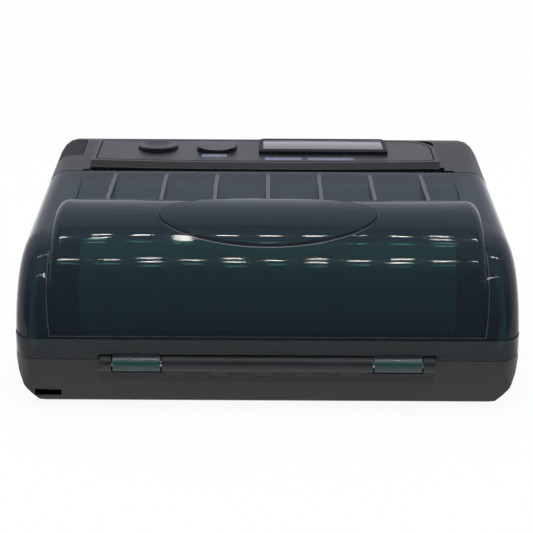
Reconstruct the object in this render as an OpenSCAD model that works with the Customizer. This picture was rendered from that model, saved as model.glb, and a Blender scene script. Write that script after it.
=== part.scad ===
// Portable thermal receipt printer for 80 mm paper, drawn as the separate pieces it is assembled from.
// Pieces are drawn in case coordinates: X across the printer from its middle, Y back from the front face
// and Z up from the underside of the case. case_frame() then puts the origin under the middle of the feet.

/* [Case] */
// Width over the side walls
body_w = 106.3; // [105:0.1:109]
// Length from the front face to the rear face
body_l = 104; // [103:0.5:108]
// Height of the ridge behind the key panel
ridge_z = 38.6; // [38:0.1:39.5]
// Height of the seam round the lower case
seam_z = 10.5; // [10.4:0.1:10.7]
// Wall thickness of the moulded shells
wall = 1.8; // [1.6:0.1:1.9]
// Floor thickness of the lower case
floor_t = 2; // [1.9:0.1:2.1]
// Height of the rubber feet below the case
foot_h = 0.8; // [0.5:0.1:1.2]

/* [Cover] */
// Width of the dome over the paper roll
dome_w = 94.2; // [92:0.2:95]
// Radius of the dome
dome_r = 24.6; // [24.5:0.1:24.8]
// Number of blades behind the dome
blade_count = 7; // [5:2:7]
// Spacing of the blades
blade_pitch = 12; // [11:0.5:12]
// Length of the raised thumb pad across the dome
pad_w = 47; // [40:1:50]

/* [Paper] */
// Width of the paper roll
paper_w = 79.5; // [78:0.5:80]
// Radius of a full roll
roll_r = 15; // [13:0.1:15.5]
// Radius of the rubber platen
platen_r = 4; // [3.8:0.05:4]

/* [Hidden] */
$fn = 48;
eps = 0.01;

// Side outline of the upper body as [Y, Z] corners from the front foot to the rear foot, and their radii
half_w = body_w / 2;
skirt_z = 14.8;
skirt_step = 0.45;
brow = [skirt_step, 31.24];
ridge = [81, ridge_z];
tail = [body_l, 32.4];
outline_corners = [[skirt_step, seam_z - 2], brow, ridge, tail, [body_l, seam_z - 2]];
outline_radii = [0, 21, 14, 5, 0];
outline_steps = [0, 14, 3, 4, 0];

// The long edges are softly rounded over this width and depth, and so are the corners in plan
edge_w = 5;
edge_d = 7.5;
edge_steps = [0, 18, 36, 54, 72, 90];

// The lower case curves in below curve_z
curve_z = 13;
floor_top = floor_t + eps;
side_curve_r = 17.6;
front_curve_r = 30;

// Where the cover ends and the rear housing begins
cover_end = 56.5;
part_gap = 0.3;
seam_gap = 0.1;

// Hinge across the front edge
hinge = [0.3, 9.6];
hinge_r = 1.75;
pin_r = 0.75;
hinge_gap = 0.3;
ear_x = [32.4, 34.8];
knuckle_x = [22.2, 32.1];
barrel_x = 21.9;
front_reach = hinge_r - hinge[0];

// Dome, blades and thumb pad of the cover; the sides of the dome lean in by the draft
dome_axis = [25.1, 12.7];
dome_edge = 2.4;
dome_side = 6;
dome_draft = 1;
dome_first = 175;
dome_last = 56;
trough_w = 87.4;
trough_front = 36;
trough_low = 33.5;
trough_rear = 54.6;
blade_t = 0.95;
blade_draft = 0.12;
pad_angle = 75.5;
pad_half = 9.8;
pad_steps = [[0, 0.22], [0.35, 0.45]];

// Paper roll, platen, print head and drive train
roll_axis = [22.8, 19];
core_r = 6;
core_bore = 4.8;
platen_axis = [53.1, 27.4];
shaft_r = 1.5;
bush_r = 3;
slot_x = 42.2;
slot_notch = [44.3, 57.9];
slot_end = 58.5;
lip_t = 1.2;
bow_r = 552;
gear_module = 0.5;
platen_teeth = 22;
idler_small_teeth = 14;
idler_big_teeth = 32;
pinion_teeth = 12;
backlash = 0.1;
plane_1 = [44.7, 46.3];
plane_2 = [46.9, 48.7];
cheek_x = [43, 44];
pinion_angle = 233;
motor_r = 7.5;
motor_t = 12;

// Direction in which the platen leaves its seats when the cover opens
platen_arm = platen_axis - hinge;
away = [-platen_arm[1], platen_arm[0]] / norm(platen_arm);
idler_axis = platen_axis - away * gear_module * (platen_teeth + idler_small_teeth) / 2;
pinion_axis = idler_axis
    + gear_module * (idler_big_teeth + pinion_teeth) / 2 * [cos(pinion_angle), sin(pinion_angle)];

// Key panel
panel_x = [-42.7, 41.3];
panel_y = [58.3, 80.3];
panel_lip = [59.65, 37.83];
panel_rear_z = 38.62;
panel_sink = 0.8;
key_y = 72.2;
power_x = -27.2;
power_r = 4.8;
feed_x = -12.7;
feed_size = [9.4, 8.6];
key_gap = 0.2;
key_top = 39.3;
key_travel = 0.8;
pad_top = 34.4;
window_x = [-2.3, 29.2];
window_y = [66.7, 79.4];
button_x = [-51.4, -45.6];
button_y = [68.4, 80.4];
button_bottom = 34;

// Boards and battery
board_t = 1.2;
main_board_z = 23;
key_board_z = 32.2;
socket_z = main_board_z + board_t + 1.5;
dc_z = main_board_z + board_t + 3;
spring_z = 27.6;
battery_x = 35;
battery_y = [63.4, 97.8];
battery_z = [2.2, 20.4];
bay_x = 35.8;
bay_y = [62.6, 98.6];
bay_wall = 1.2;
bay_roof = 21;
door_y = [61.1, 99.4];
door_lip = 1.5;
door_t = 0.9;
door_gap = 0.2;

// Fixings
screw_spots = [[-40.4, 67.2], [40.4, 67.2], [-42.8, 95.4], [42.8, 95.4]];
post_r = 2.4;
boss_r = 3.2;
head_r = 2;
foot_spots = [[-41, 14.5], [41, 14.5], [-42, 84], [42, 84]];
foot_r = 4;
board_posts = [[-34.6, 73], [34.6, 73], [-34.6, 92], [34.6, 92]];
carrier_screw_x = [-27, 27];
lever_pivot = [66, 24.5];
lever_x = [-47, -45.8];
strap_x = [-48.9, -43.3];

// Turns a [Y, Z] profile into a solid between two places across the printer
module across(x0, x1) translate([x0, 0, 0]) rotate([90, 0, 90]) linear_extrude(x1 - x0) children();

// Turns an [X, Z] profile into a solid between two places along the printer
module along(y0, y1) translate([0, y1, 0]) rotate([90, 0, 0]) linear_extrude(y1 - y0) children();

// A block between two opposite corners
module block(a, b) translate(a) cube(b - a);

// A round rod across the printer about a [Y, Z] axis
module rod(x0, x1, axis, r) translate([x0, axis[0], axis[1]]) rotate([0, 90, 0]) cylinder(r = r, h = x1 - x0);

module mirrored() {
    children();
    mirror([1, 0, 0]) children();
}

// Puts a piece drawn in case coordinates into the frame of the part
module case_frame() translate([0, (front_reach - body_l) / 2, foot_h]) children();

function unit(v) = v / norm(v);

// Normal of a side that points into the body when the outline runs from front to rear
function inward(p, q) = let (u = unit(q - p)) [u[1], -u[0]];

function moved_corner(p, v, n, d) = let (a = inward(p, v), b = inward(v, n)) v + d * (a + b) / (1 + a * b);

// The outline moved inwards by d
function moved_outline(pts, d) = [for (i = [0 : len(pts) - 1])
    i == 0 ? pts[0] + d * inward(pts[0], pts[1])
    : i == len(pts) - 1 ? pts[i] + d * inward(pts[i - 1], pts[i])
    : moved_corner(pts[i - 1], pts[i], pts[i + 1], d)];

// Points of the arc of radius r that rounds the corner v
function rounded_corner(p, v, n, r, steps) = let (a = unit(p - v), b = unit(n - v), half = acos(a * b) / 2,
        middle = v + unit(a + b) * r / sin(half), first = v + a * r / tan(half) - middle,
        turn = sign(cross(v - p, n - v)) * (180 - 2 * half), from = atan2(first[1], first[0]))
    [for (i = [0 : steps]) middle + r * [cos(from + turn * i / steps), sin(from + turn * i / steps)]];

// Side outline of the upper body at a depth d below its surface
function body_outline(d) = let (c = moved_outline(outline_corners, d), last = len(c) - 1)
    [for (i = [0 : last]) each (i == 0 || i == last) ? [c[i]]
        : rounded_corner(c[i - 1], c[i], c[i + 1], max(outline_radii[i] - d, 1), outline_steps[i])];

// Height of the straight top face between brow and ridge
function top_z(y) = brow[1] + (y - brow[0]) * (ridge[1] - brow[1]) / (ridge[0] - brow[0]);

function arc_points(c, r, from, to, steps) =
    [for (i = [0 : steps]) let (a = from + (to - from) * i / steps) c + r * [cos(a), sin(a)]];

// Skins a stack of outlines, each a list of [Y, Z] points at a place X, into one solid
module loft(places, outlines) {
    n = len(outlines[0]);
    m = len(outlines);
    points = [for (k = [0 : m - 1]) for (p = outlines[k]) [places[k], p[0], p[1]]];
    sides = [for (k = [0 : m - 2]) for (i = [0 : n - 1]) let (j = (i + 1) % n)
        each [[k * n + i, k * n + j, (k + 1) * n + i], [k * n + j, (k + 1) * n + j, (k + 1) * n + i]]];
    caps = [[for (i = [n - 1 : -1 : 0]) i], [for (i = [0 : n - 1]) (m - 1) * n + i]];
    polyhedron(points, concat(sides, caps), convexity = 6);
}

// Stations across a body of half width w whose long edges are rounded over ew and ed: [X, depth]
function stations(w, ew, ed) = concat(
    [for (i = [len(edge_steps) - 1 : -1 : 0])
        [-w + ew * (1 - sin(edge_steps[i])), ed * (1 - cos(edge_steps[i]))]],
    [for (t = edge_steps) [w - ew * (1 - sin(t)), ed * (1 - cos(t))]]);

// The pillow shape of the upper body, or the space inside it at a depth d
module upper_block(d = 0) {
    s = stations(half_w - d, edge_w, edge_d);
    loft([for (v = s) v[0]], [for (v = s) body_outline(v[1] + d)]);
}

// Side outline of the dome at a depth d below its surface, closed inside the body
function dome_outline(d) = concat(arc_points(dome_axis, dome_r - d, dome_first, dome_last, 24),
    [dome_axis + [8, 11.3], dome_axis + [-8, 5.3]]);

module dome_block() {
    s = concat([[-dome_w / 2, dome_side]], stations(dome_w / 2 - dome_draft, dome_edge, dome_edge),
        [[dome_w / 2, dome_side]]);
    loft([for (v = s) v[0]], [for (v = s) dome_outline(v[1])]);
}

// Plan of the case with its rounded corners, moved inwards by d
function plan_quarter(d) = [for (t = edge_steps)
    [half_w - d - edge_w * (1 - sin(t)), d + edge_d * (1 - cos(t))]];

function plan_outline(d) = let (q = plan_quarter(d), n = len(q) - 1) concat(q,
    [for (i = [n : -1 : 0]) [q[i][0], body_l - q[i][1]]],
    [for (p = q) [-p[0], body_l - p[1]]],
    [for (i = [n : -1 : 0]) [-q[i][0], q[i][1]]]);

// How far a curved wall of radius r has come in at height z, counted from the seam
function curve_in(r, z) = sqrt(r * r - pow(curve_z - seam_z, 2)) - sqrt(r * r - pow(curve_z - z, 2));

function wall_heights(low) = [for (i = [0 : 7]) seam_z + (low - seam_z) * i / 7];

module lower_block(d, low) {
    zs = wall_heights(low + 0.5);
    side = [for (z = zs) [half_w - d - curve_in(side_curve_r, z), z]];
    foot = [half_w - d - curve_in(side_curve_r, low) - 0.8, low];
    nose = [for (z = zs) [d + curve_in(front_curve_r, z), z]];
    toe = [d + curve_in(front_curve_r, low) + 0.6, low];
    intersection() {
        translate([0, 0, low - 1]) linear_extrude(seam_z - low + 1) polygon(plan_outline(d));
        along(-1, body_l + 1) polygon(concat(side, [foot, [-foot[0], low]],
            [for (i = [len(side) - 1 : -1 : 0]) [-side[i][0], side[i][1]]]));
        across(-half_w - 1, half_w + 1) polygon(concat(nose, [toe, [body_l - toe[0], low]],
            [for (i = [len(nose) - 1 : -1 : 0]) [body_l - nose[i][0], nose[i][1]]]));
    }
}

// A flat plate with round corners, exact curves throughout
module rounded_plate(x, y, r, h) {
    linear_extrude(h) {
        translate([x[0] + r, y[0]]) square([x[1] - x[0] - 2 * r, y[1] - y[0]]);
        translate([x[0], y[0] + r]) square([x[1] - x[0], y[1] - y[0] - 2 * r]);
        for (cx = [x[0] + r, x[1] - r]) for (cy = [y[0] + r, y[1] - r]) translate([cx, cy]) circle(r = r);
    }
}

// Solid whose front face bows forward in the middle: [distance behind the front, Z] profile
module bowed(y, profile) translate([0, y + bow_r, 0]) rotate_extrude($fn = 720)
    polygon(concat([[0, profile[0][1]]], [for (p = profile) [bow_r - p[0], p[1]]],
        [[0, profile[len(profile) - 1][1]]]));

// Involute teeth
function rad(a) = a * PI / 180;
function involute(a) = tan(a) - rad(a);
function flank_angle(r, pitch_r, base_r, z) = let (at = r > base_r ? acos(base_r / r) : 0)
    90 / z - backlash / pitch_r * 90 / PI + (involute(20) - involute(at)) * 180 / PI;

function gear_points(z, phase) = let (m = gear_module, pitch_r = m * z / 2, base_r = pitch_r * cos(20),
        tip_r = pitch_r + m, root_r = pitch_r - 1.25 * m, start_r = max(base_r, root_r + 0.05),
        radii = [start_r, (start_r + tip_r) / 2, tip_r],
        flank = concat([[root_r, flank_angle(start_r, pitch_r, base_r, z)]],
            [for (r = radii) [r, flank_angle(r, pitch_r, base_r, z)]]))
    [for (k = [0 : z - 1]) let (a = phase + k * 360 / z) each concat(
        [for (f = flank) f[0] * [cos(a - f[1]), sin(a - f[1])]],
        [for (i = [3 : -1 : 0]) flank[i][0] * [cos(a + flank[i][1]), sin(a + flank[i][1])]])];

module gear(x, axis, z, phase, bore) {
    across(x[0], x[1]) translate(axis) difference() {
        polygon(gear_points(z, phase));
        circle(r = bore);
    }
}

function direction(from, to) = atan2(to[1] - from[1], to[0] - from[0]);

// Round wire swept along a coil about the Z axis
module coil(r, wire, pitch, turns, sides = 6, per_turn = 12) {
    n = turns * per_turn;
    rise = atan2(pitch, 2 * PI * r);
    points = [for (i = [0 : n]) let (a = 360 * i / per_turn) for (k = [0 : sides - 1])
        let (b = 360 * k / sides, out = r + wire * cos(b), up = wire * sin(b))
        [out * cos(a) + up * sin(rise) * sin(a), out * sin(a) - up * sin(rise) * cos(a),
            pitch * i / per_turn + up * cos(rise)]];
    skin = [for (i = [0 : n - 1]) for (k = [0 : sides - 1]) let (j = (k + 1) % sides)
        [i * sides + k, (i + 1) * sides + k, (i + 1) * sides + j, i * sides + j]];
    ends = [[for (k = [0 : sides - 1]) k], [for (k = [sides - 1 : -1 : 0]) n * sides + k]];
    polyhedron(points, concat(skin, ends), convexity = 8);
}

module screw_post(spot, z0, z1, bore) translate([spot[0], spot[1], z0]) difference() {
    cylinder(r = post_r, h = z1 - z0);
    translate([0, 0, -eps]) cylinder(r = bore, h = z1 - z0 + 2 * eps);
}

// Lower case: a tub that curves in to its flat floor, with the battery bay and half of the hinge
module bottom_case() color("#24272c") case_frame() difference() {
    union() {
        difference() {
            union() {
                difference() {
                    lower_block(0, 0);
                    translate([0, 0, eps]) lower_block(wall, floor_t);
                }
                // Bay for the battery, open below
                block([-bay_x - bay_wall, bay_y[0] - bay_wall, floor_t - 0.5],
                    [bay_x + bay_wall, bay_y[1] + bay_wall, bay_roof + bay_wall]);
                // Block behind the hinge, and the pad round the strap slot
                block([-ear_x[1], hinge[0], 5.6], [ear_x[1], 4.4, seam_z - 0.15]);
                block([strap_x[0] + 0.6, 3, 1], [strap_x[1] + 1.2, 9.2, 4.4]);
                for (s = screw_spots) translate([s[0], s[1], 1]) cylinder(r = boss_r, h = 9.3);
            }
            // Room for the knuckles of the cover
            mirrored() rod(knuckle_x[0] - hinge_gap, knuckle_x[1] + hinge_gap, hinge, hinge_r + hinge_gap);
            mirrored() block([knuckle_x[0] - hinge_gap, -2, hinge[1]],
                [knuckle_x[1] + hinge_gap, hinge[0], seam_z + 1]);
        }
        rod(-barrel_x, barrel_x, hinge, hinge_r);
        mirrored() rod(ear_x[0], ear_x[1], hinge, hinge_r);
        // Small ribs under the barrel
        for (i = [-2 : 2]) translate([9 * i - 1, 0, 0]) across(-2, 2) polygon(
            [[0.6, 6.4], [-0.55, 7.4], [-0.75, 8.4], [0.6, 9]]);
    }
    rod(-ear_x[1] + 0.5, ear_x[1] - 0.5, hinge, pin_r);
    block([-bay_x, bay_y[0], -1], [bay_x, bay_y[1], bay_roof]);
    block([-bay_x - door_lip, door_y[0], -1], [bay_x + door_lip, door_y[1], door_t + 0.05]);
    for (s = screw_spots) translate([s[0], s[1], -1]) {
        cylinder(r = 1.1, h = 12);
        cylinder(r = head_r + 0.2, h = 3.6);
    }
    for (f = foot_spots) translate([f[0], f[1], -1]) cylinder(r = foot_r, h = 1.6);
    // Strap slot: in at the front, out through the floor behind a bar
    block([strap_x[0], -1, 1.6], [strap_x[1], 8, 3.2]);
    block([strap_x[0] + 2, 5, -1], [strap_x[1], 8, 3.2]);
}

// Four rubber pads in round sockets
module rubber_feet() color("#1b1c1e") case_frame() for (f = foot_spots) translate([f[0], f[1], 0])
    rotate_extrude() polygon([[0, 0.6], [foot_r, 0.6], [foot_r, 0], [foot_r - 0.35, -foot_h + 0.2],
        [foot_r - 0.6, -foot_h], [0, -foot_h]]);

// Door of the battery bay, which swings down about its front edge
module battery_door() color("#282b30") case_frame() difference() {
    union() {
        side = bay_x + door_lip - door_gap;
        rod(-side, side, [door_y[0] + door_gap + door_t / 2, door_t / 2], door_t / 2);
        block([-side, door_y[0] + door_gap + door_t / 2, 0], [side, door_y[1] - door_gap, door_t]);
        block([-bay_x + 0.3, bay_y[0] + 0.3, door_t - eps], [bay_x - 0.3, bay_y[1] - 0.5, floor_t - 0.1]);
    }
    // Springy latch tongue between two slots, with grip grooves
    mirrored() block([7, bay_y[1] - 9, -1], [7.8, bay_y[1] - 0.4, 3]);
    for (i = [0 : 4]) block([-5, bay_y[1] - 7 + 1.3 * i, -1], [5, bay_y[1] - 6.4 + 1.3 * i, 0.35]);
}

// Two cells in a plastic case with a contact recess
module battery_pack() color("#3b4046") case_frame() difference() {
    across(-battery_x, battery_x) {
        r = (battery_z[1] - battery_z[0]) / 2;
        translate([battery_y[0] + r, battery_z[0]]) square([battery_y[1] - battery_y[0] - 2 * r, 2 * r]);
        for (y = [battery_y[0] + r, battery_y[1] - r]) translate([y, battery_z[0] + r]) circle(r = r);
    }
    block([-8, battery_y[0] - 1, 9], [8, battery_y[0] + 1, 14]);
}

// Cradle for the paper roll with its end walls and the paper guide behind it
module paper_tub() color("#2c3036") case_frame() {
    cradle_r = roll_r + 0.5;
    difference() {
        across(-41.8, 41.8) difference() {
            union() {
                translate(roll_axis) circle(r = roll_axis[1] - floor_top);
                translate([4.6, 9.2]) square([6, 1.2]);
                translate([38.6, 12]) square([1.6, 10]);
                polygon([[38.6, 20.4], [48.6, 21.4], [48.6, 22.6], [38.6, 22]]);
            }
            translate(roll_axis) circle(r = cradle_r);
            translate([0, 10.4]) square([roll_axis[0], 40]);
            translate([roll_axis[0] - eps, 22]) square([15.8, 40]);
        }
        block([8, 42, 18], [14, 47, 24]);
    }
    mirrored() across(40.6, 41.8) difference() {
        translate(roll_axis) circle(r = cradle_r + 0.3);
        translate([0, 10.4]) square([14, 40]);
        translate([0, 17]) square([60, 40]);
        translate(roll_axis) circle(r = 4);
    }
}

// Rear half of the top: key panel recess, paper slot lip and the tail over the boards
module top_case() color("#26292e") case_frame() {
    difference() {
        intersection() {
            upper_block();
            block([-60, cover_end + part_gap, seam_z], [60, body_l + 1, 60]);
        }
        // The inside
        difference() {
            upper_block(wall);
            mirrored() block([half_w - wall - 1.2, cover_end, seam_z - 3], [60, cover_end + 2.1, 60]);
            // Shelf below the release spring
            block([-60, 72.8, spring_z - 1.2], [-47.3, 77.2, spring_z]);
            difference() {
                block([-slot_x - lip_t, slot_end, 33.6], [slot_x + lip_t, 62.5, 60]);
                bowed(slot_end + lip_t, [[0, 30], [0, 60]]);
            }
        }
        // Front edge along the paper slot, notched at both ends
        difference() {
            block([-slot_x, 50, seam_z - 1], [slot_x, 62, 60]);
            bowed(slot_end, [[0, 5], [0, 70]]);
        }
        block([-slot_notch[0], 50, seam_z - 1], [slot_notch[0], slot_notch[1], 60]);
        // Room for the platen gear below the roof
        block([slot_notch[0] - 1, 50, 30], [plane_1[1] + 0.5, slot_notch[1] + 1, 35.3]);
        // Seat and window for the key panel
        intersection() {
            rounded_plate(panel_x, [50, panel_y[1]], 2.5, 60);
            across(-50, 50) polygon([[50, top_z(50) - panel_sink], [90, top_z(90) - panel_sink],
                [90, 60], [50, 60]]);
        }
        rounded_plate([-34, 32], [65, 78.8], 2, 60);
        translate([0, 0, spring_z + 0.4])
            rounded_plate(button_x + [-0.2, 0.2], button_y + [-0.2, 0.2], 1.2, 60);
        // Sockets in the rear wall
        block([-26, body_l - 5, socket_z - 1.7], [-17.6, body_l + 1, socket_z + 1.9]);
        translate([20, body_l + 1, dc_z]) rotate([90, 0, 0]) cylinder(r = 3.1, h = 6);
    }
    for (s = screw_spots) intersection() {
        screw_post(s, 10.35, 40, 0.9);
        across(-half_w, half_w) polygon(body_outline(1));
    }
}

function panel_top(y) = panel_rear_z
    - (panel_y[1] - 0.5 - y) * (panel_rear_z - panel_lip[1]) / (panel_y[1] - 0.5 - panel_lip[0]);

// Raised key panel with its sloped front lip, which bows towards the paper, and pegs for the key board
module panel_plate() color("#2b2e34") case_frame() difference() {
    union() {
        intersection() {
            union() {
                rounded_plate([panel_x[0], 0], panel_y, 2.5, 60);
                rounded_plate([-20, panel_x[1]], panel_y, 8, 60);
                rounded_plate([-20, panel_x[1]], [panel_y[0], panel_y[1] - 9], 2.5, 60);
            }
            across(-50, 50) polygon([[50, top_z(50) - panel_sink + 0.02],
                [50, panel_top(50)], [panel_y[1] - 0.5, panel_rear_z], [panel_y[1], panel_rear_z - 0.3],
                [panel_y[1], top_z(panel_y[1]) - panel_sink + 0.02]]);
            bowed(slot_end, [[0, 35], [0, 36.3], [2 * (panel_lip[0] - slot_end), 2 * panel_lip[1] - 36.3]]);
        }
        for (x = [-32, 29.8], y = [67, 77.2]) translate([x, y, key_board_z + 1])
            cylinder(r = 0.8, h = top_z(y) - panel_sink + 0.5 - key_board_z - 1);
    }
    translate([power_x, key_y, 30]) cylinder(r = power_r + key_gap, h = 20);
    translate([feed_x, key_y, 30]) rounded_plate([-feed_size[0] / 2 - key_gap, feed_size[0] / 2 + key_gap],
        [-feed_size[1] / 2 - key_gap, feed_size[1] / 2 + key_gap], 2.4, 20);
    block([window_x[0] + 1.4, window_y[0] + 1.4, 30], [window_x[1] - 1.4, window_y[1] - 1.4, 60]);
}

// Raised window over the status lamps, with sloped edges
module status_window() color("#101216") case_frame() {
    rise = [panel_lip[1] - 0.2, key_top];
    intersection() {
        along(window_y[0], window_y[1]) polygon([[window_x[0], rise[0]], [window_x[1], rise[0]],
            [window_x[1] - 0.3, rise[1] - 0.5], [window_x[1] - 1.2, rise[1]], [window_x[0] + 1.2, rise[1]],
            [window_x[0] + 0.3, rise[1] - 0.5]]);
        across(window_x[0], window_x[1]) polygon([[window_y[0], rise[0]], [window_y[1], rise[0]],
            [window_y[1] - 0.3, rise[1] - 0.5], [window_y[1] - 1.2, rise[1]], [window_y[0] + 1.2, rise[1]],
            [window_y[0] + 0.3, rise[1] - 0.5]]);
        across(-60, 60) polygon([[60, panel_top(60) + 0.02], [panel_y[1] - 0.5, panel_rear_z + 0.02],
            [90, panel_rear_z + 0.02], [90, 60], [60, 60]]);
    }
    block([window_x[0] + 1.6, window_y[0] + 1.6, 36.8], [window_x[1] - 1.6, window_y[1] - 1.6, key_top - 0.4]);
}

// Board that carries the keys and the status lamps
module key_board() color("#1f5a3c") case_frame() {
    translate([0, 0, key_board_z]) rounded_plate([-33, 31], [65.8, 78.3], 1, 1);
    for (x = [power_x, feed_x])
        block([x - 1.6, key_y - 1.6, key_board_z + 1 - eps], [x + 1.6, key_y + 1.6, key_board_z + 1.5]);
}

// Silicone pad with a dome under each key
module key_pad() color("#6d7278") case_frame() for (x = [power_x, feed_x]) difference() {
    translate([x, key_y, key_board_z + 1]) cylinder(r1 = 4, r2 = 2.6, h = pad_top - key_board_z - 1);
    block([x - 1.8, key_y - 1.8, key_board_z], [x + 1.8, key_y + 1.8, key_board_z + 1.7]);
}

// Three small lamps below the window
module status_leds() color("#c8e6d0") case_frame() for (x = [5, 13, 21])
    block([x - 1, 72, key_board_z + 1], [x + 1, 73.2, key_board_z + 1.7]);

// Main board over the battery bay with its larger parts
module main_board() color("#1f5a3c") case_frame() {
    difference() {
        block([-39.8, 70, main_board_z], [39.8, 100, main_board_z + board_t]);
        for (s = board_posts) translate([s[0], s[1], 0]) cylinder(r = 1.2, h = 60);
    }
    block([-12, 78, main_board_z + board_t - eps], [0, 90, main_board_z + board_t + 1.2]);
    block([6, 80, main_board_z + board_t - eps], [13, 88, main_board_z + board_t + 1]);
    block([-22, 71, main_board_z + board_t - eps], [-2, 74.4, main_board_z + board_t + 3.6]);
    for (x = [28, 34]) translate([x, 84, main_board_z + board_t - eps]) cylinder(r = 2.5, h = 5);
    for (s = board_posts) translate([s[0], s[1], bay_roof + bay_wall]) difference() {
        block([-2, -2, 0], [2, 2, main_board_z - bay_roof - bay_wall + eps]);
        translate([0, 0, -1]) cylinder(r = 1.2, h = 9);
    }
}

module usb_socket() color("#c9ccd0") case_frame() difference() {
    block([-25.6, 95, socket_z - 1.5], [-18, body_l - wall - 0.1, socket_z + 1.5]);
    block([-25.2, 96, socket_z - 1.1], [-18.4, body_l, socket_z + 1.1]);
}

// Round charging socket with its centre pin
module dc_socket() color("#17181a") case_frame() translate([20, 0, dc_z]) {
    difference() {
        block([-4, 93, -3], [4, body_l - wall - 0.3, 2.4]);
        translate([0, 94.5, 0]) rotate([-90, 0, 0]) cylinder(r = 1.95, h = 20);
    }
    translate([0, 94, 0]) rotate([-90, 0, 0]) cylinder(r = 0.6, h = 7);
}

// Steel frame round the platen seats, motor and print head
module head_frame() color("#b4b8bc") case_frame() {
    seat_r = bush_r + 0.1;
    difference() {
        union() {
            across(cheek_x[0], cheek_x[1]) polygon([[42, floor_top], [61, floor_top], [61, 18], [64.4, 22.6],
                [64.4, 33.6], [57, 33.6], [57, 30], [49, 29.6], [47.5, 21], [42, 18]]);
            across(-cheek_x[1], -cheek_x[0]) polygon([[48, floor_top], [58, floor_top], [60, 18], [69, 21.6],
                [69, 27], [64.4, 29], [64.4, 33.6], [57, 33.6], [57, 30], [49, 29.6], [47.5, 21]]);
            block([-cheek_x[1], 63.4, 22.6], [cheek_x[1], 64.4, 33.6]);
        }
        for (x = [-45, 42]) rod(x, x + 3, platen_axis, seat_r);
        for (x = [-45, 42]) across(x, x + 3) translate(platen_axis)
            rotate(atan2(away[1], away[0])) translate([0, -seat_r]) square([14, 2 * seat_r]);
        rod(42, 45, pinion_axis, 1.6);
    }
}

module heat_sink() color("#c3c7ca") case_frame() difference() {
    block([-42, 58.25, 19.4], [42, 61, 33.4]);
    for (i = [-4 : 4]) block([i * 9 - 3, 60.2, 18], [i * 9 + 3, 62, 26]);
}

// Ceramic print head with its raised line of heaters and the chip cover
module print_head() color("#dcd8cc") case_frame() across(-41, 41)
    polygon([[58.25, 20.2], [57.8, 20.2], [57.1, 21], [57.1, 23.4], [57.6, 24], [57.6, 26.6], [57.4, 27],
        [57.4, 27.8], [57.6, 28.2], [57.6, 33.2], [58.25, 33.2]]);

module head_springs() color("#d0d3d6") case_frame() for (x = [-18, 18])
    translate([x, 61.25, 29.4]) rotate([-90, 0, 0]) coil(1.8, 0.2, 0.62, 3);

module stepper_motor() color("#9a9ea3") case_frame() {
    difference() {
        union() {
            rod(cheek_x[0] - motor_t, cheek_x[0], pinion_axis, motor_r);
            across(cheek_x[0] - 0.8, cheek_x[0]) translate(pinion_axis) union() {
                square([18, 5], center = true);
                for (s = [-1, 1]) translate([9 * s, 0]) circle(r = 2.5);
            }
        }
        rod(cheek_x[0] - 6, cheek_x[0] + 1, pinion_axis, 1);
    }
    block([cheek_x[0] - 9, pinion_axis[0] - 8.6, pinion_axis[1] - 3],
        [cheek_x[0] - 4, pinion_axis[0] - 6.6, pinion_axis[1] + 3]);
}

// Motor shaft with its pinion
module motor_pinion() color("#c9a85a") case_frame() {
    gear(plane_2, pinion_axis, pinion_teeth, direction(pinion_axis, idler_axis) + 180 / pinion_teeth, 0.7);
    rod(cheek_x[0] - 5.6, plane_2[1] + 0.1, pinion_axis, 0.9);
}

module idler_post() color("#c9ccd0") case_frame() {
    rod(cheek_x[1], 49.2, idler_axis, 0.9);
    rod(49, 49.4, idler_axis, 1.7);
}

// Two-step gear between the motor and the platen
module idler_gear() color("#e6e2d6") case_frame() {
    gear(plane_1, idler_axis, idler_small_teeth, direction(idler_axis, platen_axis) + 180 / idler_small_teeth, 0.95);
    gear(plane_2, idler_axis, idler_big_teeth, direction(idler_axis, pinion_axis), 0.95);
    across(plane_1[1] - eps, plane_2[0] + eps) translate(idler_axis) difference() {
        circle(r = 2.6);
        circle(r = 0.95);
    }
}

// Steel strip with saw teeth along the paper slot
module tear_bar() color("#c4c8cc") case_frame() {
    tooth = 1.6;
    count = 50;
    first = -count * tooth / 2;
    intersection() {
        along(56, 62) polygon(concat([[-first, 33.8], [first, 33.8]],
            [for (i = [0 : count - 1]) each [[first + i * tooth, 35.3], [first + (i + 0.5) * tooth, 36.2]]],
            [[-first, 35.3]]));
        difference() {
            bowed(slot_end - 0.45, [[0, 30], [0, 40]]);
            bowed(slot_end - 0.02, [[0, 20], [0, 50]]);
        }
    }
}

module paper_sensor() color("#15171a") case_frame() {
    block([8.3, 42.3, 19.4], [13.7, 46.7, 21.6]);
    for (x = [9.2, 11.6]) block([x, 43.4, 21.6 - eps], [x + 1.2, 45.6, 22]);
}

module hinge_pin() color("#d0d3d6") case_frame() rod(-ear_x[1] + 0.6, ear_x[1] - 0.6, hinge, pin_r);

// Screws up through the lower case into the posts of the rear housing
module case_screws() color("#8f9398") case_frame() for (s = screw_spots) translate([s[0], s[1], 0]) {
    difference() {
        translate([0, 0, 1]) cylinder(r = head_r, h = 1.6);
        translate([0, 0, 0.5]) cylinder(r = 1.1, h = 1.2, $fn = 6);
    }
    translate([0, 0, 2.5]) cylinder(r = 0.85, h = 15);
}

// Round key with a dished top and a flange below the panel
module power_key() color("#2f333a") case_frame() translate([power_x, key_y, 0]) rotate_extrude()
    polygon(concat([[0, pad_top + key_travel + 0.1], [5.5, pad_top + key_travel + 0.1], [5.5, 36.2], [power_r, 36.2],
        [power_r, key_top - 0.5], [power_r - 0.15, key_top - 0.15], [power_r - 0.5, key_top]],
        [for (i = [0 : 6]) let (share = 1 - i / 6) [(power_r - 0.9) * share, key_top - 0.6 * (1 - share * share)]]));

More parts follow.
